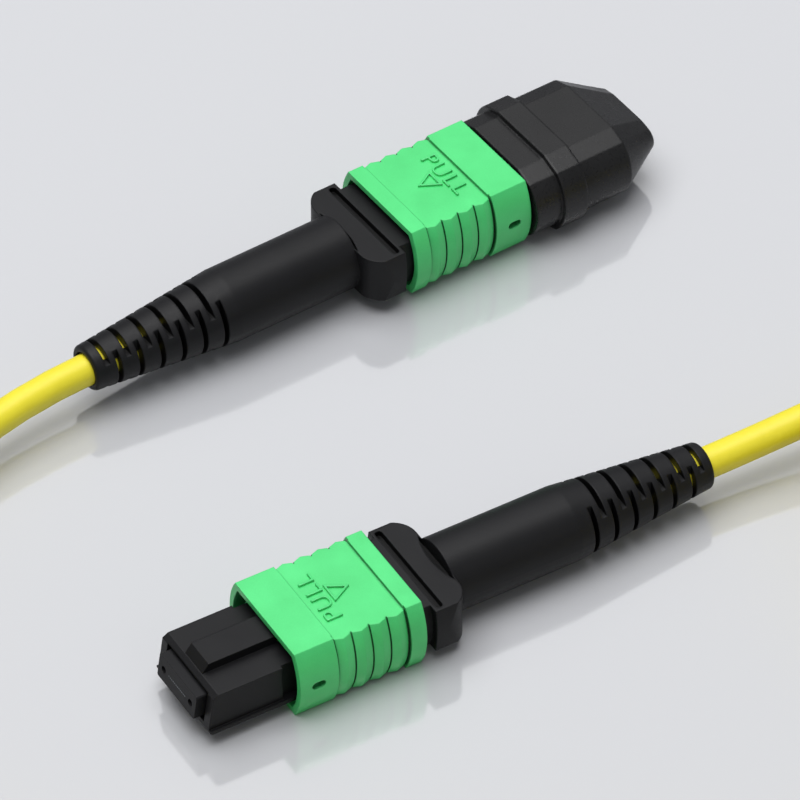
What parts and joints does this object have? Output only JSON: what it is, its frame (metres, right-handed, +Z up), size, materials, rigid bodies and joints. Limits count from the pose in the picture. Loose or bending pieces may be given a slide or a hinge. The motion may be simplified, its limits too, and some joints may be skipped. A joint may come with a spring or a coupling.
{
  "type": "fibre patch cord",
  "caption": "Yellow round fibre cord, loosely coiled, with a green push-pull multi-fibre connector on each end, slotted black boots and a black dust cap on one nose.",
  "frame": {"origin": "bottom centre of the box round the two connectors as they lie, without the cord, its coil and its tie", "axes": "+Z up from the floor they lie on; +Y away from the viewer, along the connectors' longest spread; +X to the viewer's right"},
  "size_m": [0.1258, 0.0967, 0.0098],
  "materials": {
    "green_plastic": "moulded, fine satin",
    "black_plastic": "moulded, satin",
    "cap_plastic": "moulded, soft gloss",
    "ferrule_polymer": "filled polymer, ground face",
    "white_plastic": "moulded",
    "black_rubber": "moulded, soft satin",
    "ribbon_plastic": "thin coating",
    "aramid": "fine yarn",
    "spring_steel": "drawn wire",
    "crimp_metal": "plain, crimped",
    "yellow_jacket": "extruded, satin",
    "tie_fabric": "hook and loop tape"
  },
  "bodies": {
    "cord": {"lower_front_housing": "black_plastic", "lower_fibre_ribbon": "ribbon_plastic", "lower_main_spring": "spring_steel", "lower_coupling_springs": "spring_steel", "lower_rear_housing": "black_plastic", "lower_aramid_yarn": "aramid", "lower_crimp_sleeve": "crimp_metal", "lower_boot": "black_rubber", "upper_front_housing": "black_plastic", "upper_fibre_ribbon": "ribbon_plastic", "upper_main_spring": "spring_steel", "upper_coupling_springs": "spring_steel", "upper_rear_housing": "black_plastic", "upper_aramid_yarn": "aramid", "upper_crimp_sleeve": "crimp_metal", "upper_boot": "black_rubber", "cable_run_lower": "yellow_jacket", "cable_run_upper": "yellow_jacket", "cable_coil": "yellow_jacket", "coil_tie": "tie_fabric"},
    "lower_sleeve": {"lower_coupling_sleeve": "green_plastic"},
    "upper_sleeve": {"upper_coupling_sleeve": "green_plastic"},
    "lower_ferrule_body": {"lower_ferrule": "ferrule_polymer", "lower_ferrule_rubber": "black_rubber", "lower_spacer_clamp": "white_plastic"},
    "upper_ferrule_body": {"upper_ferrule": "ferrule_polymer", "upper_ferrule_rubber": "black_rubber", "upper_spacer_clamp": "white_plastic"},
    "cap": {"dust_cap": "cap_plastic"}
  },
  "joints": [
    {"name": "lower_sleeve_slide", "type": "slide", "parent": "cord", "child": "lower_sleeve", "axis": [0.8594, 0.5113, 0], "range_m": [0, 0.001], "stiffness_N_per_m": 800, "springref_m": -0.0015, "deforming": ["lower_coupling_springs"]},
    {"name": "lower_ferrule_slide", "type": "slide", "parent": "cord", "child": "lower_ferrule_body", "axis": [0.8594, 0.5113, 0], "range_m": [0, 0.0005], "stiffness_N_per_m": 2000, "springref_m": -0.004, "deforming": ["lower_main_spring"]},
    {"name": "upper_sleeve_slide", "type": "slide", "parent": "cord", "child": "upper_sleeve", "axis": [-0.8233, -0.5676, 0], "range_m": [0, 0.001], "stiffness_N_per_m": 800, "springref_m": -0.0015, "deforming": ["upper_coupling_springs"]},
    {"name": "upper_ferrule_slide", "type": "slide", "parent": "cord", "child": "upper_ferrule_body", "axis": [-0.8233, -0.5676, 0], "range_m": [0, 0.0005], "stiffness_N_per_m": 2000, "springref_m": -0.004, "deforming": ["upper_main_spring"]},
    {"name": "cap_slide", "type": "slide", "parent": "cord", "child": "cap", "axis": [0.8233, 0.5676, 0], "range_m": [0, 0.018]}
  ]
}
